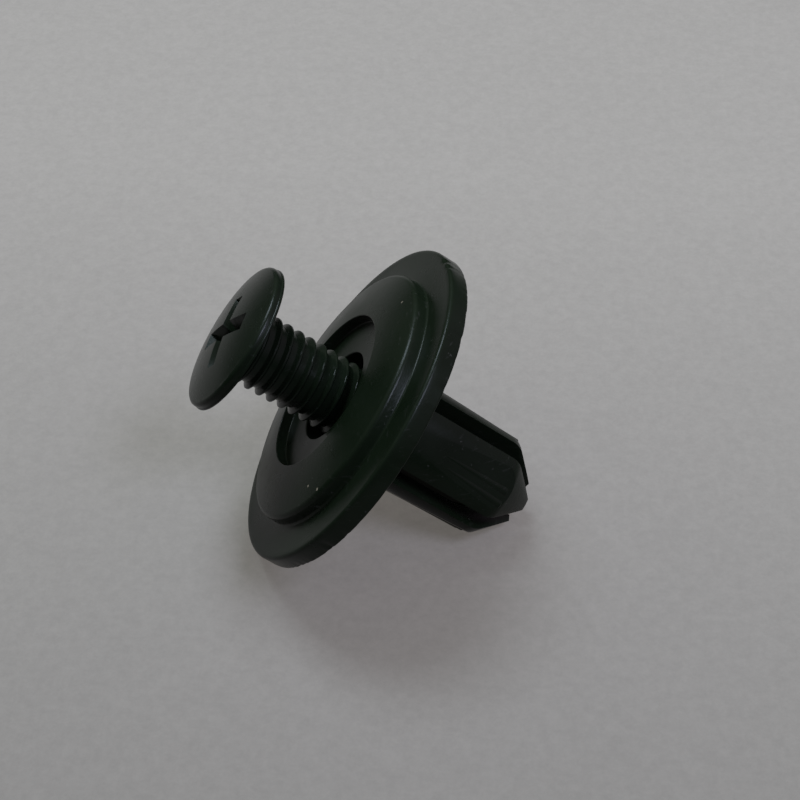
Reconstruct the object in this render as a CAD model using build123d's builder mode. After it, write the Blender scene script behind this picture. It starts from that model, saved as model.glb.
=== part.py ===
"""Screw-head push rivet: a stepped flange with four split legs, and a threaded pin part way in.

The rivet lies on a table as it comes to rest: on the flange's lower rim and on the two edges of
the slot that faces down. The origin is the centre of the flange's seating face, on the rivet's
axis. The axis lies in the X-Z plane, with the legs towards +X and the pin's head up, towards -X.
"""
import os
from math import atan2, cos, radians, sin, sqrt, tan

from build123d import *

os.makedirs("parts", exist_ok=True)

# ---- Driving dimensions, mm and degrees -------------------------------------------------------
# Flange of the grommet: a thin rim, then a step up to a plateau that climbs to the head's recess
flange_diameter = 24.0
rim_thickness = 1.4
rim_edge_fillet = 0.25
plateau_diameter = 18.9
plateau_rise = 1.0
plateau_foot_fillet = 0.35
plateau_edge_fillet = 0.2
crown_rise = 0.7
recess_depth = 0.8
throat_depth = 1.5

# Split legs of the grommet
shank_diameter = 8.0
leg_straight = 10.8
leg_length = 13.6
leg_tip_diameter = 3.1
leg_tip_wall = 0.5
leg_count = 4
slot_width = 1.5
toe_length = 4.5

# Slanted flat down the middle of each leg, with a fan of two fine ribs that stand on it
flat_start = 1.7
flat_depth = 0.34
rib_turns = (-3.6, -8.2)
rib_width = 0.16
rib_height = 0.09
rib_root_offset = 0.45
rib_start = 5.0

# Threaded pin
head_diameter = 10.7
head_rim_thickness = 0.65
head_rim_fillet = 0.12
head_crown = 0.7
neck_length = 0.75
thread_diameter = 5.2
thread_depth = 0.35
thread_pitch = 0.9
thread_crest_width = 0.12
thread_root_width = 0.7
pin_travel = 7.7

# Cross recess for the driver
cross_span = 5.5
cross_width = 0.95
cross_depth = 1.5
cross_draft = 8.0
cross_turn = -23.0

# Clearances, and how far a cutter or a joined form runs past the face that it meets
head_clearance = 0.45
throat_clearance = 0.75
running_clearance = 0.08
nose_side_clearance = 0.35
nose_end_clearance = 0.7
overrun = 0.06

# ---- Derived sizes ----------------------------------------------------------------------------
flange_radius = flange_diameter / 2
plateau_radius = plateau_diameter / 2
shank_radius = shank_diameter / 2
leg_tip_radius = leg_tip_diameter / 2
head_radius = head_diameter / 2
thread_radius = thread_diameter / 2
core_radius = thread_radius - thread_depth
recess_radius = head_radius + head_clearance
throat_radius = thread_radius + throat_clearance
bore_radius = thread_radius + running_clearance
toe_bore_radius = leg_tip_radius - leg_tip_wall

# Heights along the rivet's axis, from the seating face towards the head
plateau_edge = rim_thickness + plateau_rise
crown_top = plateau_edge + crown_rise
recess_floor = crown_top - recess_depth
throat_floor = recess_floor - throat_depth
bore_top = throat_floor - (throat_radius - bore_radius)
toe_top = toe_length - leg_length

# The pin pushed home seats its head on the recess floor; here it stands out by its travel
head_seat = recess_floor + pin_travel
head_edge = head_seat + head_rim_thickness
head_top = head_edge + head_crown
nose_top = toe_top + pin_travel
nose_end = nose_end_clearance - leg_length + pin_travel
toe_taper = (bore_radius - toe_bore_radius) / toe_length
nose_radius = toe_bore_radius + nose_end_clearance * toe_taper - nose_side_clearance
thread_low = nose_top + thread_root_width
thread_high = head_seat - neck_length

# The table touches the flange's lower rim and the slot's edges where the toes begin
slot_edge_reach = sqrt(shank_radius**2 - (slot_width / 2) ** 2)
rest_tilt = atan2(flange_radius - slot_edge_reach, leg_straight)

# Each flat starts at the shank's surface and sinks to its full depth where the toe begins
flat_slant = atan2(flat_depth, leg_straight - flat_start)

# ---- Planes -----------------------------------------------------------------------------------
axis_direction = Vector(-cos(rest_tilt), 0, sin(rest_tilt))
up_the_disc = Vector(sin(rest_tilt), 0, cos(rest_tilt))
rivet_axis = Axis((0, 0, 0), axis_direction)
# Square to the axis, looking from the head, with X up the disc
rivet_plane = Plane(origin=(0, 0, 0), x_dir=up_the_disc, z_dir=axis_direction)
# Through the axis, with X outwards and Y along the axis: turned profiles are drawn here
profile_plane = Plane(origin=(0, 0, 0), x_dir=up_the_disc, z_dir=-rivet_plane.y_dir)


def leg_flat(leg: int) -> Plane:
    """Plane of a leg's slanted flat: from where it starts, X towards the toe, Z outwards."""
    outward = up_the_disc.rotate(rivet_axis, (leg + 0.5) * 360 / leg_count)
    return Plane(
        origin=outward * shank_radius - axis_direction * flat_start,
        x_dir=-axis_direction * cos(flat_slant) - outward * sin(flat_slant),
        z_dir=outward * cos(flat_slant) - axis_direction * sin(flat_slant),
    )


def rib_point(distance: float, turn: float) -> tuple[float, float]:
    """Point of a rib's middle line on the flat, at a distance from the seating face."""
    return distance - flat_start, rib_root_offset + distance * tan(radians(turn))


# ---- Grommet: flange and split legs, moulded in one piece --------------------------------------
with BuildPart() as grommet:
    with BuildSketch(profile_plane):
        with BuildLine():
            FilletPolyline(
                (toe_bore_radius, -leg_length),
                (leg_tip_radius, -leg_length),
                (shank_radius, -leg_straight),
                (shank_radius, 0),
                (flange_radius, 0),
                (flange_radius, rim_thickness),
                (plateau_radius, rim_thickness),
                (plateau_radius, plateau_edge),
                (recess_radius, crown_top),
                (recess_radius, recess_floor),
                (throat_radius, recess_floor),
                (throat_radius, throat_floor),
                (bore_radius, bore_top),
                (bore_radius, toe_top),
                radius=[
                    0, 0, 0, 0, 0,
                    rim_edge_fillet, plateau_foot_fillet, plateau_edge_fillet,
                    0, 0, 0, 0, 0, 0,
                ],
                close=True,
            )
        make_face()
    revolve(axis=rivet_axis)

    # Slots between the legs, open from the seating face to the toes
    with BuildSketch(rivet_plane):
        with PolarLocations(0, leg_count):
            Rectangle(shank_radius + overrun, slot_width, align=(Align.MIN, Align.CENTER))
    extrude(amount=-leg_length - overrun, mode=Mode.SUBTRACT)

    # The slanted flats, each with its ribs fanning out towards the toe
    for leg in range(leg_count):
        with BuildSketch(leg_flat(leg)):
            Rectangle(leg_length, shank_diameter, align=(Align.MIN, Align.CENTER))
        extrude(amount=shank_radius, mode=Mode.SUBTRACT)
        with BuildSketch(leg_flat(leg).offset(-overrun)):
            with BuildLine():
                for turn in rib_turns:
                    Line(rib_point(rib_start, turn), rib_point(leg_straight, turn))
            trace(line_width=rib_width)
        extrude(amount=overrun + rib_height)
grommet.part.label = "grommet"
export_step(grommet.part, "parts/grommet.step")

# ---- Screw pin: domed head with a cross recess, threaded shank and tapered nose ----------------
with BuildPart() as screw_pin:
    with BuildSketch(profile_plane):
        with BuildLine():
            TangentArc((0, head_top), (head_radius, head_edge), tangent=(1, 0))
            Polyline(
                (head_radius, head_edge),
                (head_radius, head_seat),
                (core_radius, head_seat),
                (core_radius, nose_top),
                (nose_radius, nose_end),
                (0, nose_end),
                (0, head_top),
            )
        make_face()
    revolve(axis=rivet_axis)
    rim_edges = screw_pin.edges().filter_by(GeomType.CIRCLE).sort_by(SortBy.RADIUS)[-2:]
    fillet(rim_edges, radius=head_rim_fillet)

    # Single-start right-hand thread, sunk a little into the core
    with BuildLine() as thread_path:
        Helix(
            pitch=thread_pitch,
            height=thread_high - thread_low,
            radius=core_radius,
            center=axis_direction * thread_low,
            direction=axis_direction,
        )
    thread_start = thread_path.line @ 0
    thread_outward = thread_start - axis_direction * thread_low
    thread_plane = Plane(origin=thread_start, x_dir=thread_outward, z_dir=thread_path.line % 0)
    with BuildSketch(thread_plane):
        with BuildLine():
            Polyline(
                (-overrun, -thread_root_width / 2),
                (thread_depth, -thread_crest_width / 2),
                (thread_depth, thread_crest_width / 2),
                (-overrun, thread_root_width / 2),
                close=True,
            )
        make_face()
    sweep(path=thread_path.line, is_frenet=True)

    # Cross recess, narrowing with depth
    with BuildSketch(rivet_plane.offset(head_top)):
        for arm_turn in (cross_turn, cross_turn + 90):
            Rectangle(cross_span, cross_width, rotation=arm_turn)
    extrude(amount=-cross_depth, taper=cross_draft, mode=Mode.SUBTRACT)
screw_pin.part.label = "screw_pin"
export_step(screw_pin.part, "parts/screw_pin.step")
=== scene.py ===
"""Visual model of a screw-head push rivet: a split-legged grommet with a threaded pin in it."""
import logging
from collections.abc import Sequence
from dataclasses import dataclass
from enum import Enum
from math import atan2, cos, hypot, radians, sin, sqrt, tan, tau

import bmesh
import bpy
from bmesh.types import BMEdge, BMesh, BMFace, BMVert
from bpy.types import Material, Node, NodeSocket, NodeTree, Object
from mathutils import Matrix, Vector, noise


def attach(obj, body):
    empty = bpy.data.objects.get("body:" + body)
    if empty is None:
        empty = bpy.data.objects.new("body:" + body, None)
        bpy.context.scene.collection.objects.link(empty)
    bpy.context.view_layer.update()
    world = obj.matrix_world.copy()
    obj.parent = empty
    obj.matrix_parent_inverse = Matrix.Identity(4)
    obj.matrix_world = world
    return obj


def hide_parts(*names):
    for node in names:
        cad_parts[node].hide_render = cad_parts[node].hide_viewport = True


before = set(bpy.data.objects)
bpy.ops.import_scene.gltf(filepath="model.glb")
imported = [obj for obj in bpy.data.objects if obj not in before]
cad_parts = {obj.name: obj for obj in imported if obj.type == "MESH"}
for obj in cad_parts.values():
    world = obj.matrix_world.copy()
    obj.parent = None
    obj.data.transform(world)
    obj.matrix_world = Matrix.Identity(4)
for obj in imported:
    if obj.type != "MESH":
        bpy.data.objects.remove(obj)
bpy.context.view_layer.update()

log = logging.getLogger("push_rivet")

Colour = tuple[float, float, float]
Place = tuple[float, float, float]
Direction = tuple[float, float, float]

# Metres in a millimetre
MILLIMETRE = 0.001
# Vertices this close are one, in millimetres
MERGE = 1e-4
# A vertex this close to a line counts as on it, in millimetres
ON_LINE = MERGE * 4
# Steps of a full turn about the axis, unless a piece names its own
FULL_TURN_STEPS = 192
# Edges that turn by more than this are shaded sharp
SMOOTH_ANGLE = radians(32)


class Body(Enum):
    """The moving bodies that pieces ride on."""

    GROMMET = "grommet"
    PIN = "pin"


class Slot(Enum):
    """The material slots that pieces take their finish from."""

    GROMMET = "grommet_plastic"
    PIN = "pin_plastic"


# ---- The rivet's own frame ----------------------------------------------------------------------


@dataclass(frozen=True)
class Lie:
    """How the rivet lies: on its flange's rim and on the edges of the slot that faces down."""

    flange_radius: float = 12.0
    shank_radius: float = 4.0
    half_slot: float = 0.75
    leg_straight: float = 10.8

    @property
    def tilt(self) -> float:
        """Angle between the rivet's axis and the table, in radians."""
        edge_reach = sqrt(self.shank_radius**2 - self.half_slot**2)
        return atan2(self.flange_radius - edge_reach, self.leg_straight)

    @property
    def table_height(self) -> float:
        """Height of the table under the middle of the flange's seat, in metres."""
        return -self.flange_radius * cos(self.tilt) * MILLIMETRE

    @property
    def placement(self) -> Matrix:
        """From the rivet's millimetres, Z along its axis and X up the disc, to the row frame.

        Returns:
            The transform, which also turns millimetres to metres.
        """
        axis = Vector((-cos(self.tilt), 0, sin(self.tilt)))
        up_the_disc = Vector((sin(self.tilt), 0, cos(self.tilt)))
        turn = Matrix((up_the_disc, axis.cross(up_the_disc), axis)).transposed()
        return turn.to_4x4() @ Matrix.Scale(MILLIMETRE, 4)


LIE = Lie()


# ---- Mesh helpers -------------------------------------------------------------------------------


@dataclass(frozen=True)
class Corner:
    """A corner of a turned profile in millimetres, and the fillet that rounds it."""

    radius: float
    height: float
    fillet: float = 0.0

    def on_ring(self, vert: BMVert) -> bool:
        """Whether a vertex lies on the ring that this corner turns into."""
        reach = hypot(vert.co.x, vert.co.y)
        return abs(reach - self.radius) < ON_LINE and abs(vert.co.z - self.height) < ON_LINE


def bevel_edges(
    mesh: BMesh, edges: Sequence[BMEdge], width: float, segments: int = 3
) -> None:
    """Round edges off.

    Args:
        mesh: The mesh that holds the edges.
        edges: The edges to round.
        width: Width of the bevel on each side, in the mesh's units.
        segments: How many strips the bevel has.
    """
    bmesh.ops.bevel(
        mesh,
        geom=list(edges),
        offset=width,
        affect="EDGES",
        segments=segments,
        profile=0.5,
        material=-1,
        clamp_overlap=True,
    )


def chain(mesh: BMesh, corners: Sequence[Corner], closed: bool) -> list[BMVert | BMEdge]:
    """Lay a profile of straight edges in the plane of X and Z.

    Args:
        mesh: The mesh that receives the profile.
        corners: The profile's corners, in order.
        closed: Whether the last corner joins the first.

    Returns:
        The new vertices and edges.
    """
    verts = [mesh.verts.new((corner.radius, 0, corner.height)) for corner in corners]
    pairs = list(zip(verts, verts[1:]))
    if closed:
        pairs.append((verts[-1], verts[0]))
    return verts + [mesh.edges.new(pair) for pair in pairs]


def turn_profile(
    mesh: BMesh,
    geometry: Sequence[BMVert | BMEdge],
    steps: int = FULL_TURN_STEPS,
    angle: float = tau,
) -> None:
    """Spin a profile about the rivet's axis and close its seam and poles.

    Args:
        mesh: The mesh that holds the profile.
        geometry: The profile's vertices and edges.
        steps: How many steps the spin takes.
        angle: How far it turns, in radians.
    """
    bmesh.ops.spin(
        mesh,
        geom=list(geometry),
        cent=(0, 0, 0),
        axis=(0, 0, 1),
        angle=angle,
        steps=steps,
        use_merge=angle == tau,
    )
    bmesh.ops.remove_doubles(mesh, verts=mesh.verts[:], dist=MERGE)
    bmesh.ops.recalc_face_normals(mesh, faces=mesh.faces[:])


def round_rings(mesh: BMesh, corners: Sequence[Corner], segments: int = 4) -> None:
    """Round the rings of a turned mesh whose corners have a fillet.

    Args:
        mesh: The turned mesh.
        corners: The corners of its profile.
        segments: How many strips each fillet has.
    """
    for corner in corners:
        if corner.fillet:
            ring = [
                edge
                for edge in mesh.edges
                if corner.on_ring(edge.verts[0]) and corner.on_ring(edge.verts[1])
            ]
            bevel_edges(mesh, ring, corner.fillet, segments)


def cut_away(mesh: BMesh, point: Vector, outward: Vector) -> None:
    """Cut off what lies beyond a plane, and close the cut.

    Args:
        mesh: The mesh to cut.
        point: A point of the plane.
        outward: The plane's direction, towards what is cut off.
    """
    cut = bmesh.ops.bisect_plane(
        mesh,
        geom=mesh.verts[:] + mesh.edges[:] + mesh.faces[:],
        dist=MERGE,
        plane_co=point,
        plane_no=outward,
        clear_outer=True,
    )
    rim = [item for item in cut["geom_cut"] if isinstance(item, BMEdge)]
    bmesh.ops.contextual_create(mesh, geom=[edge for edge in rim if edge.is_boundary])


def finish_piece(mesh: BMesh, name: str, body: Body, material: Material) -> Object:
    """Turn a mesh in the rivet's millimetres into a dressed piece that rides on its body.

    Args:
        mesh: The finished mesh, which is freed.
        name: The piece's name.
        body: The body that it moves with.
        material: Its finish.

    Returns:
        The piece.
    """
    bmesh.ops.transform(mesh, matrix=LIE.placement, verts=mesh.verts[:])
    data = bpy.data.meshes.new(name)
    mesh.to_mesh(data)
    mesh.free()
    data.shade_smooth()
    data.set_sharp_from_angle(angle=SMOOTH_ANGLE)
    data.materials.append(material)
    piece = bpy.data.objects.new(name, data)
    bpy.context.scene.collection.objects.link(piece)
    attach(piece, body.value)
    log.info("%s: %d faces", name, len(data.polygons))
    return piece


# ---- Finishes -----------------------------------------------------------------------------------


class Fade(Enum):
    """How a mapped value runs between the ends of its band."""

    STRAIGHT = "LINEAR"
    SOFT = "SMOOTHSTEP"


@dataclass(frozen=True)
class Pattern:
    """A noise pattern: how fine it is, how many finer layers it has, and how strong they are."""

    scale: float
    detail: float
    roughness: float


@dataclass
class Wiring:
    """A node tree with short ways to add and join nodes."""

    tree: NodeTree

    def add(self, kind: str, **settings: object) -> Node:
        """Add a node.

        Args:
            kind: The node's type.
            **settings: Properties to set on it.

        Returns:
            The node.
        """
        node = self.tree.nodes.new(kind)
        for name, value in settings.items():
            setattr(node, name, value)
        return node

    def join(self, source: NodeSocket, target: NodeSocket) -> None:
        """Link two sockets."""
        self.tree.links.new(source, target)

    def noise(self, vector: NodeSocket, pattern: Pattern) -> NodeSocket:
        """Add a noise texture.

        Args:
            vector: The place that the texture reads.
            pattern: The noise's pattern.

        Returns:
            The noise's value, from 0 to 1.
        """
        node = self.add("ShaderNodeTexNoise")
        self.join(vector, node.inputs["Vector"])
        node.inputs["Scale"].default_value = pattern.scale
        node.inputs["Detail"].default_value = pattern.detail
        node.inputs["Roughness"].default_value = pattern.roughness
        return node.outputs["Fac"]

    def spread(
        self,
        value: NodeSocket,
        band: tuple[float, float],
        to: tuple[float, float] = (0.0, 1.0),
        fade: Fade = Fade.STRAIGHT,
    ) -> NodeSocket:
        """Map a band of values to another, and hold its end values outside it.

        Args:
            value: The value to map.
            band: The values where the map starts and ends.
            to: What it gives there.
            fade: How it runs in between.

        Returns:
            The mapped value.
        """
        node = self.add("ShaderNodeMapRange", interpolation_type=fade.value)
        self.join(value, node.inputs["Value"])
        for name, number in zip(("From Min", "From Max", "To Min", "To Max"), (*band, *to)):
            node.inputs[name].default_value = number
        return node.outputs["Result"]

    def _pair(self, operation: str, first: NodeSocket, second: NodeSocket) -> NodeSocket:
        """Work two values out to one.

        Args:
            operation: The math node's operation.
            first: The first value.
            second: The second value.

        Returns:
            The result.
        """
        node = self.add("ShaderNodeMath", operation=operation)
        self.join(first, node.inputs[0])
        self.join(second, node.inputs[1])
        return node.outputs[0]

    def times(self, first: NodeSocket, second: NodeSocket) -> NodeSocket:
        """Multiply two sockets."""
        return self._pair("MULTIPLY", first, second)

    def sum(self, first: NodeSocket, second: NodeSocket) -> NodeSocket:
        """Add two sockets."""
        return self._pair("ADD", first, second)

    def greater(self, first: NodeSocket, second: NodeSocket) -> NodeSocket:
        """Take the greater of two sockets."""
        return self._pair("MAXIMUM", first, second)

    def blend(self, share: NodeSocket, first: NodeSocket, second: NodeSocket) -> NodeSocket:
        """Mix two values.

        Args:
            share: The share of the second value.
            first: The first value.
            second: The second value.

        Returns:
            The mixed value.
        """
        node = self.add("ShaderNodeMix", data_type="FLOAT")
        self.join(share, node.inputs[0])
        self.join(first, node.inputs[2])
        self.join(second, node.inputs[3])
        return node.outputs[0]

    def mix(
        self, share: NodeSocket, first: NodeSocket | Colour, second: NodeSocket | Colour
    ) -> NodeSocket:
        """Mix two colours.

        Args:
            share: The share of the second colour.
            first: The first colour, or the socket that gives it.
            second: The second colour, or the socket that gives it.

        Returns:
            The mixed colour's socket.
        """
        node = self.add("ShaderNodeMix", data_type="RGBA")
        self.join(share, node.inputs[0])
        for socket, value in ((node.inputs[6], first), (node.inputs[7], second)):
            if isinstance(value, NodeSocket):
                self.join(value, socket)
            else:
                socket.default_value = (*value, 1)
        return node.outputs[2]


@dataclass(frozen=True)
class MouldedSurface:
    """The shader group that both plastics share: clouding, handling scuffs, dust and grain."""

    name: str = "moulded_surface"
    clouds: Pattern = Pattern(260.0, 4, 0.55)
    cloud_band: tuple[float, float] = (0.35, 0.7)
    scratches: Pattern = Pattern(900.0, 6, 0.7)
    scratch_stretch: tuple[float, float, float] = (1.0, 1.0, 5.0)
    scratch_band: tuple[float, float] = (0.6, 0.72)
    crumbs: Pattern = Pattern(2600.0, 2, 0.5)
    crumb_band: tuple[float, float] = (0.72, 0.77)
    grain: Pattern = Pattern(5200.0, 3, 0.6)

    def build(self) -> NodeTree:
        """Make the group.

        Returns:
            The group's tree, with colour, roughness and height as its outputs.
        """
        group = bpy.data.node_groups.new(self.name, "ShaderNodeTree")
        for name, kind in (
            ("Position", "NodeSocketVector"),
            ("Colour", "NodeSocketColor"),
            ("Cloud Colour", "NodeSocketColor"),
            ("Dust Colour", "NodeSocketColor"),
            ("Polished Roughness", "NodeSocketFloat"),
            ("Clouded Roughness", "NodeSocketFloat"),
            ("Scuffed Roughness", "NodeSocketFloat"),
            ("Scuffs", "NodeSocketFloat"),
            ("Dust", "NodeSocketFloat"),
        ):
            group.interface.new_socket(name, in_out="INPUT", socket_type=kind)
        for name, kind in (
            ("Colour", "NodeSocketColor"),
            ("Roughness", "NodeSocketFloat"),
            ("Height", "NodeSocketFloat"),
        ):
            group.interface.new_socket(name, in_out="OUTPUT", socket_type=kind)
        wiring = Wiring(group)
        given = wiring.add("NodeGroupInput").outputs
        result = wiring.add("NodeGroupOutput").inputs
        cloud = wiring.spread(wiring.noise(given["Position"], self.clouds), self.cloud_band)
        rubbed = wiring.add("ShaderNodeMapping")
        rubbed.inputs["Scale"].default_value = self.scratch_stretch
        wiring.join(given["Position"], rubbed.inputs["Vector"])
        scratches = wiring.noise(rubbed.outputs[0], self.scratches)
        scuff = wiring.times(wiring.spread(scratches, self.scratch_band), given["Scuffs"])
        crumbs = wiring.noise(given["Position"], self.crumbs)
        dust = wiring.times(wiring.spread(crumbs, self.crumb_band), given["Dust"])
        colour = wiring.mix(cloud, given["Colour"], given["Cloud Colour"])
        colour = wiring.mix(wiring.greater(scuff, dust), colour, given["Dust Colour"])
        wiring.join(colour, result["Colour"])
        gloss = wiring.blend(cloud, given["Polished Roughness"], given["Clouded Roughness"])
        wiring.join(wiring.blend(scuff, gloss, given["Scuffed Roughness"]), result["Roughness"])
        grain = wiring.noise(given["Position"], self.grain)
        wiring.join(wiring.sum(grain, dust), result["Height"])
        return group


@dataclass(frozen=True)
class Speck:
    """A larger speck of dust: its place on the plastic and its radius, in metres."""

    place: Place
    radius: float

    @property
    def core(self) -> float:
        """Radius within which the speck hides the plastic, in metres."""
        return self.radius / 2


@dataclass(frozen=True)
class MouldedPlastic:
    """Black moulded plastic, clouded and handled, with a little dust on it.

    Its roughness has a value for polished, clouded and scuffed plastic, and the height of its
    grain is in millimetres.
    """

    name: str
    colour: Colour
    cloud_colour: Colour
    dust_colour: Colour
    roughness: tuple[float, float, float]
    grain_height: float
    scuffs: float
    dust: float
    specular: float = 0.85
    index: float = 1.135
    specks: tuple[Speck, ...] = ()
    speck_colour: Colour = (0.16, 0.13, 0.10)

    def build(self, surface: NodeTree) -> Material:
        """Make the material.

        Args:
            surface: The shared surface group.

        Returns:
            The material.
        """
        material = bpy.data.materials.new(self.name)
        material.use_nodes = True
        wiring = Wiring(material.node_tree)
        shader = material.node_tree.nodes["Principled BSDF"]
        place = wiring.add("ShaderNodeTexCoord").outputs["Object"]
        worn = wiring.add("ShaderNodeGroup", node_tree=surface)
        wiring.join(place, worn.inputs["Position"])
        polished, clouded, scuffed = self.roughness
        for name, value in (
            ("Colour", (*self.colour, 1)),
            ("Cloud Colour", (*self.cloud_colour, 1)),
            ("Dust Colour", (*self.dust_colour, 1)),
            ("Polished Roughness", polished),
            ("Clouded Roughness", clouded),
            ("Scuffed Roughness", scuffed),
            ("Scuffs", self.scuffs),
            ("Dust", self.dust),
        ):
            worn.inputs[name].default_value = value
        colour = worn.outputs["Colour"]
        for speck in self.specks:
            away = wiring.add("ShaderNodeVectorMath", operation="DISTANCE")
            wiring.join(place, away.inputs[0])
            away.inputs[1].default_value = speck.place
            cover = wiring.spread(away.outputs["Value"], (speck.radius, speck.core))
            colour = wiring.mix(cover, colour, self.speck_colour)
        wiring.join(colour, shader.inputs["Base Color"])
        wiring.join(worn.outputs["Roughness"], shader.inputs["Roughness"])
        shader.inputs["Specular IOR Level"].default_value = self.specular
        shader.inputs["IOR"].default_value = self.index
        bump = wiring.add("ShaderNodeBump")
        bump.inputs["Distance"].default_value = self.grain_height * MILLIMETRE
        wiring.join(worn.outputs["Height"], bump.inputs["Height"])
        wiring.join(bump.outputs["Normal"], shader.inputs["Normal"])
        return material


GROMMET_FINISH = MouldedPlastic(
    name="grommet_black",
    colour=(0.0037, 0.0064, 0.0031),
    cloud_colour=(0.0054, 0.0084, 0.0046),
    dust_colour=(0.030, 0.030, 0.027),
    roughness=(0.26, 0.33, 0.6),
    grain_height=0.007,
    scuffs=0.5,
    dust=0.8,
    specks=(
        Speck((-0.00262, -0.00819, 0.00090), 0.00011),
        Speck((-0.00189, -0.00908, 0.00160), 0.00013),
        Speck((0.00267, 0.00244, 0.00795), 0.0001),
    ),
)
PIN_FINISH = MouldedPlastic(
    name="pin_black",
    colour=(0.0037, 0.0061, 0.0033),
    cloud_colour=(0.0054, 0.0080, 0.0048),
    dust_colour=(0.026, 0.028, 0.026),
    roughness=(0.22, 0.28, 0.52),
    grain_height=0.006,
    scuffs=0.3,
    dust=0.6,
)


# ---- Grommet ------------------------------------------------------------------------------------


@dataclass(frozen=True)
class Nick:
    """A small dent in the flange's rim: its turn in degrees, the rest in millimetres."""

    turn: float
    height: float
    width: float
    depth: float

    def depth_at(self, outward: Vector, height: float) -> float:
        """How deep the dent is at a point of the rim.

        Args:
            outward: Direction of the point from the rivet's axis.
            height: Height of the point above the seat.

        Returns:
            The depth, in millimetres.
        """
        turn = radians(self.turn)
        across = outward.angle(Vector((cos(turn), sin(turn), 0))) * LIE.flange_radius
        away = hypot(across, height - self.height) / self.width
        return self.depth * max(0.0, 1 - away * away)


@dataclass(frozen=True)
class Rib:
    """A low rib on a leg's flat: its offset and start in millimetres, its turn in degrees."""

    offset: float
    turn: float
    start: float


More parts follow.
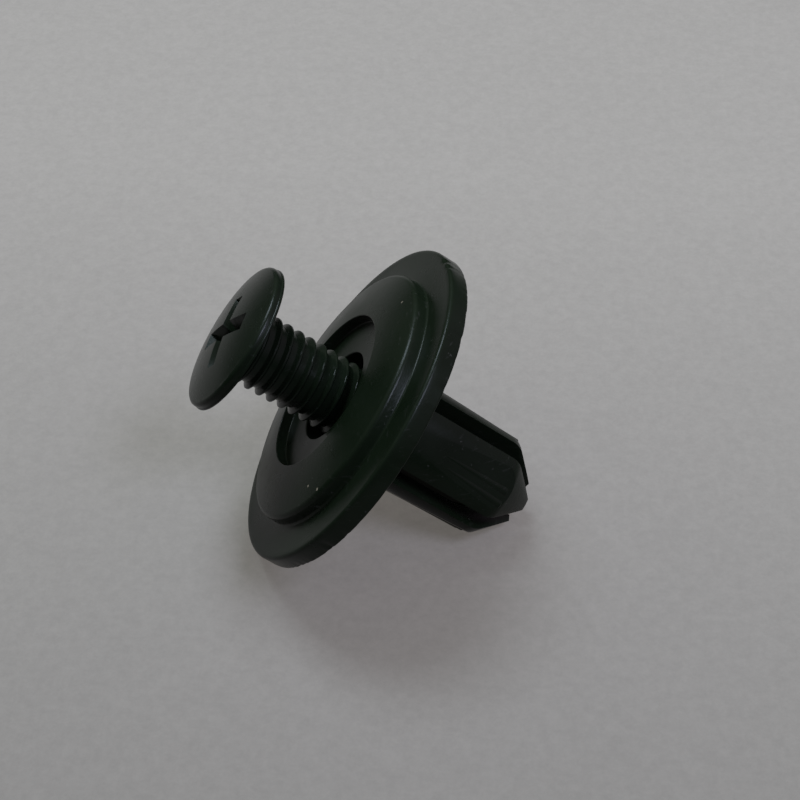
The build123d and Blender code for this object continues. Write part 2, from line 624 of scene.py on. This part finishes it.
@dataclass
class Grommet:
    """The moulded grommet: a stepped flange with four split legs, in millimetres."""

    flange_radius: float = LIE.flange_radius
    rim_thickness: float = 1.4
    rim_ring_share: float = 0.6
    rim_fillet: float = 0.25
    seat_fillet: float = 0.1
    plateau_radius: float = 9.45
    plateau_edge: float = 2.4
    plateau_foot_fillet: float = 0.18
    plateau_edge_fillet: float = 0.3
    crown_top: float = 3.1
    recess_radius: float = 5.8
    recess_floor: float = 2.28
    recess_fillet: float = 0.08
    throat_radius: float = 3.35
    throat_floor: float = 0.8
    throat_edge_fillet: float = 0.1
    throat_floor_fillet: float = 0.08
    bore_radius: float = 2.68
    bore_top: float = 0.13
    shank_radius: float = LIE.shank_radius
    leg_straight: float = LIE.leg_straight
    leg_length: float = 13.6
    tip_radius: float = 1.55
    toe_bore_radius: float = 1.05
    toe_length: float = 4.5
    toe_fillet: float = 0.55
    toe_fillet_strips: int = 5
    leg_count: int = 4
    leg_steps: int = 40
    half_slot: float = LIE.half_slot
    flat_start: float = 1.7
    flat_depth: float = 0.34
    leg_edge: float = 0.1
    leg_edge_angle: float = SMOOTH_ANGLE / 2
    ribs: tuple[Rib, ...] = (Rib(0.084, -0.8, 5.4), Rib(-0.325, -3.8, 5.9))
    rib_radius: float = 0.42
    rib_height: float = 0.09
    rib_end: float = 10.95
    rib_nose: float = 0.12
    rib_steps: int = 64
    root_overlap: float = 0.3
    flange_steps: int = 480
    worn_fillets: float = 1.5
    ragged_rates: tuple[float, float] = (9.0, 27.0)
    ragged_depth: float = 0.07
    nicks: tuple[Nick, ...] = (
        Nick(25.5, 1.35, 0.5, 0.12),
        Nick(20.5, 1.3, 0.35, 0.06),
        Nick(-12.0, 0.1, 0.3, 0.1),
        Nick(-58.0, 0.1, 0.25, 0.08),
        Nick(-95.0, 0.2, 0.3, 0.1),
        Nick(140.0, 0.1, 0.3, 0.08),
    )

    @property
    def flange_profile(self) -> list[Corner]:
        """The flange's closed profile, with a ring part way up the rim for the nicks to dent."""
        return [
            Corner(self.bore_radius, 0),
            Corner(self.flange_radius, 0, self.seat_fillet),
            Corner(self.flange_radius, self.seat_fillet * 2),
            Corner(self.flange_radius, self.rim_thickness * self.rim_ring_share),
            Corner(self.flange_radius, self.rim_thickness, self.rim_fillet),
            Corner(self.flange_radius - self.rim_fillet * 2, self.rim_thickness),
            Corner(self.plateau_radius, self.rim_thickness, self.plateau_foot_fillet),
            Corner(self.plateau_radius, self.plateau_edge, self.plateau_edge_fillet),
            Corner(self.recess_radius, self.crown_top, self.recess_fillet),
            Corner(self.recess_radius, self.recess_floor, self.recess_fillet),
            Corner(self.throat_radius, self.recess_floor, self.throat_edge_fillet),
            Corner(self.throat_radius, self.throat_floor, self.throat_floor_fillet),
            Corner(self.bore_radius, self.bore_top),
        ]

    @property
    def leg_profile(self) -> list[Corner]:
        """A leg's closed profile."""
        return [
            Corner(self.bore_radius, self.root_overlap),
            Corner(self.shank_radius, self.root_overlap),
            Corner(self.shank_radius, -self.leg_straight, self.toe_fillet),
            Corner(self.tip_radius, -self.leg_length),
            Corner(self.toe_bore_radius, -self.leg_length),
            Corner(self.bore_radius, self.toe_length - self.leg_length),
        ]

    def build_flange(self) -> BMesh:
        """Make the flange.

        Returns:
            The flange's mesh.
        """
        mesh = bmesh.new()
        turn_profile(mesh, chain(mesh, self.flange_profile, closed=True), self.flange_steps)
        round_rings(mesh, self.flange_profile)
        self.wear_rim(mesh)
        return mesh

    def wear_rim(self, mesh: BMesh) -> None:
        """Leave the rim's lower edge ragged from trimming, and knock its nicks in.

        The wear reaches as many fillets in from the rim's edges as worn_fillets says.

        Args:
            mesh: The flange's mesh.
        """
        for vert in mesh.verts:
            reach = hypot(vert.co.x, vert.co.y)
            if reach < self.flange_radius - self.rim_fillet * self.worn_fillets:
                continue
            outward = Vector((vert.co.x / reach, vert.co.y / reach, 0))
            push = 0.0
            if vert.co.z < self.seat_fillet * self.worn_fillets:
                rough = sum(noise.noise(outward * rate) for rate in self.ragged_rates)
                push = self.ragged_depth * max(0.0, rough)
            for nick in self.nicks:
                push += nick.depth_at(outward, vert.co.z)
            vert.co -= outward * push

    def build_leg(self) -> BMesh:
        """Make one leg, its middle towards X.

        Returns:
            The leg's mesh.
        """
        mesh = bmesh.new()
        sector = tau / self.leg_count
        turn_profile(mesh, chain(mesh, self.leg_profile, closed=True), self.leg_steps, sector)
        round_rings(mesh, self.leg_profile, self.toe_fillet_strips)
        bmesh.ops.rotate(
            mesh, verts=mesh.verts[:], cent=(0, 0, 0), matrix=Matrix.Rotation(-sector / 2, 3, "Z")
        )
        for side in (-1, 1):
            outward = Vector((-sin(sector / 2), side * cos(sector / 2), 0))
            cut_away(mesh, -outward * self.half_slot, outward)
        slant = atan2(self.flat_depth, self.leg_straight - self.flat_start)
        flat_out = Vector((cos(slant), 0, -sin(slant)))
        cut_away(mesh, Vector((self.shank_radius, 0, -self.flat_start)), flat_out)
        bmesh.ops.recalc_face_normals(mesh, faces=mesh.faces[:])
        sharp = [
            edge
            for edge in mesh.edges
            if len(edge.link_faces) == 2 and edge.calc_face_angle() > self.leg_edge_angle
        ]
        bevel_edges(mesh, sharp, self.leg_edge)
        self.add_ribs(mesh, slant)
        return mesh

    def add_ribs(self, mesh: BMesh, slant: float) -> None:
        """Stand the flat's ribs on a leg, each a long cone sunk into the flat.

        Args:
            mesh: The leg's mesh.
            slant: Angle between the flat and the rivet's axis, in radians.
        """
        sunk = self.rib_radius - self.rib_height
        for rib in self.ribs:
            turn = radians(rib.turn)
            cone = bmesh.new()
            bmesh.ops.create_cone(
                cone,
                cap_ends=True,
                segments=self.rib_steps,
                radius1=self.rib_radius,
                radius2=sunk,
                depth=(self.rib_end - rib.start) / cos(turn),
            )
            nose = [edge for edge in cone.edges if all(vert.co.z < 0 for vert in edge.verts)]
            bevel_edges(cone, nose, self.rib_nose)
            middle = (rib.start + self.rib_end) / 2
            across = rib.offset + middle * tan(turn)
            place = (
                Matrix.Translation((self.shank_radius, 0, -self.flat_start))
                @ Matrix.Rotation(slant, 4, "Y")
                @ Matrix.Translation((-sunk, across, self.flat_start - middle))
                @ Matrix.Rotation(turn, 4, "X")
            )
            bmesh.ops.transform(cone, matrix=place, verts=cone.verts[:])
            spare = bpy.data.meshes.new("rib")
            cone.to_mesh(spare)
            cone.free()
            mesh.from_mesh(spare)
            bpy.data.meshes.remove(spare)

    def dress(self, surface: NodeTree) -> None:
        """Make the grommet's pieces.

        Args:
            surface: The shared surface group.
        """
        material = GROMMET_FINISH.build(surface)
        mesh = self.build_flange()
        flange = finish_piece(mesh, "flange", Body.GROMMET, material)
        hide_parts("grommet")
        for index in range(self.leg_count):
            mesh = self.build_leg()
            turn = Matrix.Rotation((index + 0.5) * tau / self.leg_count, 3, "Z")
            bmesh.ops.rotate(mesh, verts=mesh.verts[:], cent=(0, 0, 0), matrix=turn)
            finish_piece(mesh, f"leg_{index + 1}", Body.GROMMET, material)


# ---- Screw pin ----------------------------------------------------------------------------------


@dataclass(frozen=True)
class Shoulder:
    """A point that rounds the thread's crest: how far it lies below it and from its middle."""

    drop: float
    half_width: float


@dataclass
class ScrewPin:
    """The threaded pin with its domed, cross-recessed head, in millimetres and degrees."""

    head_radius: float = 5.35
    head_seat: float = 10.0
    head_edge: float = 10.65
    head_top: float = 11.35
    head_fillet: float = 0.34
    head_wall: float = 5.3
    bead_top: float = 10.16
    bead_fillet: float = 0.05
    core_radius: float = 2.25
    neck_top: float = 9.25
    neck_fillet: float = 0.15
    nose_top: float = -1.4
    nose_top_fillet: float = 0.1
    nose_end: float = -5.2
    nose_end_fillet: float = 0.2
    nose_radius: float = 0.953
    thread_low: float = -0.7
    thread_pitch: float = 0.9
    crest_radius: float = 2.6
    crest_half_width: float = 0.05
    shoulders: tuple[Shoulder, ...] = (Shoulder(0.12, 0.11), Shoulder(0.04, 0.08))
    root_half_width: float = 0.28
    root_sink: float = 0.06
    thread_steps: int = 96
    parting_turn: float = -26.3
    trim_half_angle: float = 7.5
    cross_span: float = 5.5
    cross_widths: tuple[float, float] = (1.05, 1.3)
    cross_depth: float = 1.5
    cross_end_depth: float = 0.7
    cross_draft: float = 32.0
    cross_floor_half_width: float = 0.1
    cross_turn: float = -23.0
    cross_margin: float = 0.45
    crown_steps: int = 24

    @property
    def thread_section(self) -> list[Corner]:
        """The thread's ridge in section, closed and sunk a little into the core.

        Returns:
            The section's corners, from its lower root over the crest to its upper root.
        """
        half_widths = [
            (self.core_radius - self.root_sink, self.root_half_width),
            *((self.crest_radius - point.drop, point.half_width) for point in self.shoulders),
            (self.crest_radius, self.crest_half_width),
        ]
        lower = [Corner(radius, self.thread_low - half) for radius, half in half_widths]
        upper = [Corner(radius, self.thread_low + half) for radius, half in half_widths]
        return lower + upper[::-1]

    @property
    def body_profile(self) -> list[Corner]:
        """The pin's profile under the crown."""
        return [
            Corner(self.head_wall, self.head_edge, self.head_fillet),
            Corner(self.head_wall, self.bead_top + self.head_radius - self.head_wall),
            Corner(self.head_radius, self.bead_top, self.bead_fillet),
            Corner(self.head_radius, self.head_seat, self.bead_fillet),
            Corner(self.core_radius, self.head_seat, self.neck_fillet),
            Corner(self.core_radius, self.nose_top, self.nose_top_fillet),
            Corner(self.nose_radius, self.nose_end, self.nose_end_fillet),
            Corner(0, self.nose_end),
        ]

    def build_body(self) -> BMesh:
        """Make the head, shank and nose.

        Returns:
            Their mesh.
        """
        mesh = bmesh.new()
        rise = self.head_top - self.head_edge
        crown_radius = (self.head_wall**2 + rise**2) / (2 * rise)
        sweep = atan2(self.head_wall, crown_radius - rise)
        bmesh.ops.spin(
            mesh,
            geom=[mesh.verts.new((0, 0, self.head_top))],
            cent=(0, 0, self.head_top - crown_radius),
            axis=(0, 1, 0),
            angle=sweep,
            steps=self.crown_steps,
        )
        chain(mesh, self.body_profile, closed=False)
        bmesh.ops.remove_doubles(mesh, verts=mesh.verts[:], dist=MERGE)
        turn_profile(mesh, mesh.verts[:] + mesh.edges[:])
        self.cut_cross(mesh)
        round_rings(mesh, self.body_profile)
        return mesh

    def cut_cross(self, mesh: BMesh) -> None:
        """Sink the cross recess into the crown.

        Args:
            mesh: The pin's mesh.
        """
        turn = Matrix.Rotation(radians(self.cross_turn), 3, "Z")
        back = turn.transposed()
        self.score_cross(mesh, turn)
        inside = [
            face
            for face in mesh.faces
            if face.calc_center_median().z > self.head_edge
            and self.in_cross(back @ face.calc_center_median())
        ]
        sunk = bmesh.ops.extrude_face_region(mesh, geom=inside)
        covered = [face for face in inside if face.is_valid]
        bmesh.ops.delete(mesh, geom=covered, context="FACES_ONLY")
        for vert in sunk["geom"]:
            if isinstance(vert, BMVert):
                vert.co = turn @ self.sunk_spot(back @ vert.co)
        bmesh.ops.recalc_face_normals(mesh, faces=mesh.faces[:])

    def score_cross(self, mesh: BMesh, turn: Matrix) -> None:
        """Score the cross's outline into the crown, for its faces to sink along.

        Args:
            mesh: The pin's mesh.
            turn: The cross's turn on the head.
        """
        for direction, width in zip(((1, 0, 0), (0, 1, 0)), self.cross_widths):
            outward = turn @ Vector(direction)
            for reach in (width / 2, self.cross_span / 2):
                for side in (-1, 1):
                    crown = [face for face in mesh.faces if self.near_cross(face)]
                    edges = {edge for face in crown for edge in face.edges}
                    verts = {vert for face in crown for vert in face.verts}
                    bmesh.ops.bisect_plane(
                        mesh,
                        geom=list(verts) + list(edges) + crown,
                        dist=MERGE,
                        plane_co=outward * reach * side,
                        plane_no=outward,
                    )

    def near_cross(self, face: BMFace) -> bool:
        """Tell whether a face belongs to the middle of the crown, where the cross is sunk.

        Args:
            face: A face of the pin.

        Returns:
            Whether it does.
        """
        middle = face.calc_center_median()
        reach = hypot(middle.x, middle.y)
        return middle.z > self.head_edge and reach < self.cross_span / 2 + self.cross_margin

    def in_cross(self, spot: Vector) -> bool:
        """Tell whether a point of the crown lies in one of the cross's arms.

        Args:
            spot: The point, in the cross's own directions.

        Returns:
            Whether it does.
        """
        across, along = self.cross_widths
        reach = self.cross_span / 2
        return (abs(spot.x) < across / 2 and abs(spot.y) < reach) or (
            abs(spot.y) < along / 2 and abs(spot.x) < reach
        )

    def sunk_spot(self, spot: Vector) -> Vector:
        """Find where a point of the crown goes when the cross sinks, deepest at its middle.

        Args:
            spot: The point, in the cross's own directions.

        Returns:
            Its place on the cross's floor.
        """
        along = max(
            (abs(spot[k]) - width / 2) / (self.cross_span - width) * 2
            for k, width in enumerate(self.cross_widths)
        )
        shallower = (self.cross_depth - self.cross_end_depth) * max(0.0, along)
        depth = self.cross_depth - shallower
        draft = depth * tan(radians(self.cross_draft))
        for k, width in enumerate(self.cross_widths):
            if abs(spot[k]) > width / 2 - ON_LINE:
                inward = min(draft, abs(spot[k]) - self.cross_floor_half_width)
                spot[k] -= inward if spot[k] > 0 else -inward
        spot.z -= depth
        return spot

    def build_thread(self) -> BMesh:
        """Make the thread's ridge.

        Returns:
            The ridge's mesh.
        """
        mesh = bmesh.new()
        section = chain(mesh, self.thread_section, closed=True)
        outline = [item for item in section if isinstance(item, BMEdge)]
        bmesh.ops.contextual_create(mesh, geom=outline)
        turns = (self.neck_top - self.thread_low) / self.thread_pitch
        steps = round(turns * self.thread_steps)
        spun = bmesh.ops.spin(
            mesh,
            geom=section,
            cent=(0, 0, 0),
            axis=(0, 0, 1),
            dvec=(0, 0, self.thread_pitch / self.thread_steps),
            angle=steps * tau / self.thread_steps,
            steps=steps,
        )
        last = [item for item in spun["geom_last"] if isinstance(item, BMEdge)]
        bmesh.ops.contextual_create(mesh, geom=last)
        bmesh.ops.recalc_face_normals(mesh, faces=mesh.faces[:])
        self.trim_parting(mesh)
        return mesh

    def trim_parting(self, mesh: BMesh) -> None:
        """Trim the crests to narrow flats on both sides of the mould's two parting lines.

        Args:
            mesh: The thread's mesh.
        """
        reach = self.crest_radius * cos(radians(self.trim_half_angle))
        for parting in (self.parting_turn, self.parting_turn + 180):
            for side in (-1, 1):
                turn = radians(parting + side * self.trim_half_angle)
                outward = Vector((cos(turn), sin(turn), 0))
                for vert in mesh.verts:
                    proud = vert.co.dot(outward) - reach
                    if proud > 0:
                        vert.co -= outward * proud

    def dress(self, surface: NodeTree) -> None:
        """Make the pin's pieces.

        Args:
            surface: The shared surface group.
        """
        material = PIN_FINISH.build(surface)
        body = finish_piece(self.build_body(), "pin_body", Body.PIN, material)
        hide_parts("screw_pin")
        finish_piece(self.build_thread(), "pin_thread", Body.PIN, material)


# ---- Studio -------------------------------------------------------------------------------------


@dataclass(frozen=True)
class Lamp:
    """A soft rectangular lamp: its direction from the rivet, distance, sides, watts and colour."""

    name: str
    direction: Direction
    distance: float
    width: float
    length: float
    power: float
    colour: Colour

    def hang(self) -> None:
        """Hang the lamp facing the rivet, its length across the table."""
        data = bpy.data.lights.new(self.name, "AREA")
        data.shape = "RECTANGLE"
        data.size = self.width
        data.size_y = self.length
        data.energy = self.power
        data.color = self.colour
        lamp = bpy.data.objects.new(self.name, data)
        towards = Vector(self.direction).normalized()
        lamp.matrix_world = (
            Matrix.Translation(towards * self.distance)
            @ towards.to_track_quat("Z", "X").to_matrix().to_4x4()
        )
        bpy.context.scene.collection.objects.link(lamp)


@dataclass(frozen=True)
class Glow:
    """A soft glow of the room: its direction, the cosines it fades over, strengths and colour."""

    direction: Direction
    band: tuple[float, float]
    strength: tuple[float, float]
    colour: Colour

    def shine(self, wiring: Wiring) -> NodeSocket:
        """Add the glow's background to the room.

        Args:
            wiring: The room's node tree.

        Returns:
            The background's shader.
        """
        facing = wiring.add("ShaderNodeVectorMath", operation="DOT_PRODUCT")
        wiring.join(wiring.add("ShaderNodeTexCoord").outputs["Generated"], facing.inputs[0])
        facing.inputs[1].default_value = Vector(self.direction).normalized()
        fade = wiring.spread(facing.outputs["Value"], self.band, self.strength, Fade.SOFT)
        background = wiring.add("ShaderNodeBackground")
        background.inputs["Color"].default_value = (*self.colour, 1)
        wiring.join(fade, background.inputs["Strength"])
        return background.outputs[0]


@dataclass(frozen=True)
class Studio:
    """Camera, table and light, in metres. The table's colour darkens towards the eye with painted
    shade, and far away with painted shade outside a painted pool of light round the rivet.
    """

    eye: Place = (0.01219, -0.09325, 0.09102)
    right: Direction = (0.9959, 0.0900, -0.0120)
    up: Direction = (-0.0536, 0.6897, 0.7221)
    lens: float = 85.8
    nearest: float = 0.005
    table_half_width: float = 2.0
    table_colour: Colour = (0.167, 0.155, 0.143)
    table_roughness: float = 0.9
    table_specular: float = 0.1
    table_lift: float = 0.88
    table_mottle: Pattern = Pattern(1400.0, 6, 0.75)
    mottle_band: tuple[float, float] = (0.35, 0.65)
    mottle_shades: tuple[float, float] = (0.93, 1.03)
    # Painted shade: the paper's colour darkens towards the eye, over this band of Y, to these
    # shades
    painted_shade_band: tuple[float, float] = (-0.03, 0.04)
    painted_shade_levels: tuple[float, float] = (0.69, 1.0)
    # Painted pool of light: the paper's colour darkens between these distances from the rivet,
    # which also dims what the plastic reflects
    painted_pool_band: tuple[float, float] = (0.075, 0.2)
    painted_pool_levels: tuple[float, float] = (1.0, 0.15)
    lamps: tuple[Lamp, ...] = (
        Lamp("window", (-0.24, 0.335, 0.91), 0.6, 0.22, 0.28, 3.8, (0.76, 0.88, 1.0)),
        Lamp("near_window", (0.46, -0.34, 0.8), 0.6, 0.15, 0.24, 2.6, (0.72, 0.78, 1.0)),
    )
    glows: tuple[Glow, ...] = (
        Glow((-0.28, 0.3, 0.9), (0.3, 1.0), (0.02, 0.58), (0.86, 1.0, 0.80)),
        Glow((0.85, 0.05, 0.42), (0.5, 1.0), (0.0, 0.5), (1.0, 0.7, 1.0)),
    )

    def place_camera(self) -> None:
        """Set the camera up at the eye, looking at the rivet."""
        data = bpy.data.cameras.new("camera")
        data.lens = self.lens
        data.clip_start = self.nearest
        camera = bpy.data.objects.new("camera", data)
        right, up = Vector(self.right), Vector(self.up)
        turn = Matrix((right, up, right.cross(up))).transposed()
        camera.matrix_world = Matrix.Translation(self.eye) @ turn.to_4x4()
        bpy.context.scene.collection.objects.link(camera)
        bpy.context.scene.camera = camera

    def lay_table(self) -> None:
        """Lay the table top under the rivet."""
        mesh = bmesh.new()
        bmesh.ops.create_grid(mesh, x_segments=1, y_segments=1, size=self.table_half_width)
        bmesh.ops.translate(mesh, verts=mesh.verts[:], vec=(0, 0, LIE.table_height))
        data = bpy.data.meshes.new("table_top")
        mesh.to_mesh(data)
        mesh.free()
        data.materials.append(self.build_paper())
        table = bpy.data.objects.new("table_top", data)
        bpy.context.scene.collection.objects.link(table)

    def build_paper(self) -> Material:
        """Make the table's pale paper, a little lifted where it is seen, its colour darkened by
        painted shade towards the eye and far from the rivet.

        Returns:
            The material.
        """
        material = bpy.data.materials.new("table_paper")
        material.use_nodes = True
        wiring = Wiring(material.node_tree)
        shader = material.node_tree.nodes["Principled BSDF"]
        place = wiring.add("ShaderNodeTexCoord").outputs["Object"]
        mottle = wiring.noise(place, self.table_mottle)
        share = wiring.spread(mottle, self.mottle_band, self.mottle_shades)
        # Painted shade: the paper darkens towards the eye
        depth = wiring.add("ShaderNodeSeparateXYZ")
        wiring.join(place, depth.inputs[0])
        fade = wiring.spread(depth.outputs["Y"], self.painted_shade_band, self.painted_shade_levels)
        # Painted pool of light: darker paper far from the rivet
        reach = wiring.add("ShaderNodeVectorMath", operation="LENGTH")
        wiring.join(place, reach.inputs[0])
        end = wiring.spread(reach.outputs["Value"], self.painted_pool_band, self.painted_pool_levels)
        colour = wiring.add("ShaderNodeVectorMath", operation="SCALE")
        colour.inputs[0].default_value = self.table_colour
        wiring.join(wiring.times(wiring.times(share, fade), end), colour.inputs["Scale"])
        wiring.join(colour.outputs[0], shader.inputs["Base Color"])
        wiring.join(colour.outputs[0], shader.inputs["Emission Color"])
        rays = wiring.add("ShaderNodeLightPath").outputs
        seen = wiring.greater(rays["Is Camera Ray"], rays["Is Glossy Ray"])
        seen = wiring.greater(seen, rays["Is Transmission Ray"])
        lift = wiring.add("ShaderNodeMath", operation="MULTIPLY")
        wiring.join(seen, lift.inputs[0])
        lift.inputs[1].default_value = self.table_lift
        wiring.join(lift.outputs[0], shader.inputs["Emission Strength"])
        shader.inputs["Roughness"].default_value = self.table_roughness
        shader.inputs["Specular IOR Level"].default_value = self.table_specular
        return material

    def light(self) -> None:
        """Hang the lamps, and let the room glow from overhead and from the right."""
        for lamp in self.lamps:
            lamp.hang()
        world = bpy.data.worlds.new("room")
        bpy.context.scene.world = world
        world.use_nodes = True
        wiring = Wiring(world.node_tree)
        world.node_tree.nodes.clear()
        overhead, beside = (glow.shine(wiring) for glow in self.glows)
        both = wiring.add("ShaderNodeAddShader")
        wiring.join(overhead, both.inputs[0])
        wiring.join(beside, both.inputs[1])
        wiring.join(both.outputs[0], wiring.add("ShaderNodeOutputWorld").inputs["Surface"])
        bpy.context.scene.view_settings.view_transform = "Standard"


def main() -> None:
    """Build the rivet, its table, light and camera, and log each piece's face count."""
    logging.basicConfig(level=logging.INFO, format="%(message)s")
    studio = Studio()
    studio.place_camera()
    studio.lay_table()
    studio.light()
    surface = MouldedSurface().build()
    Grommet().dress(surface)
    ScrewPin().dress(surface)


if __name__ == "__main__":
    main()
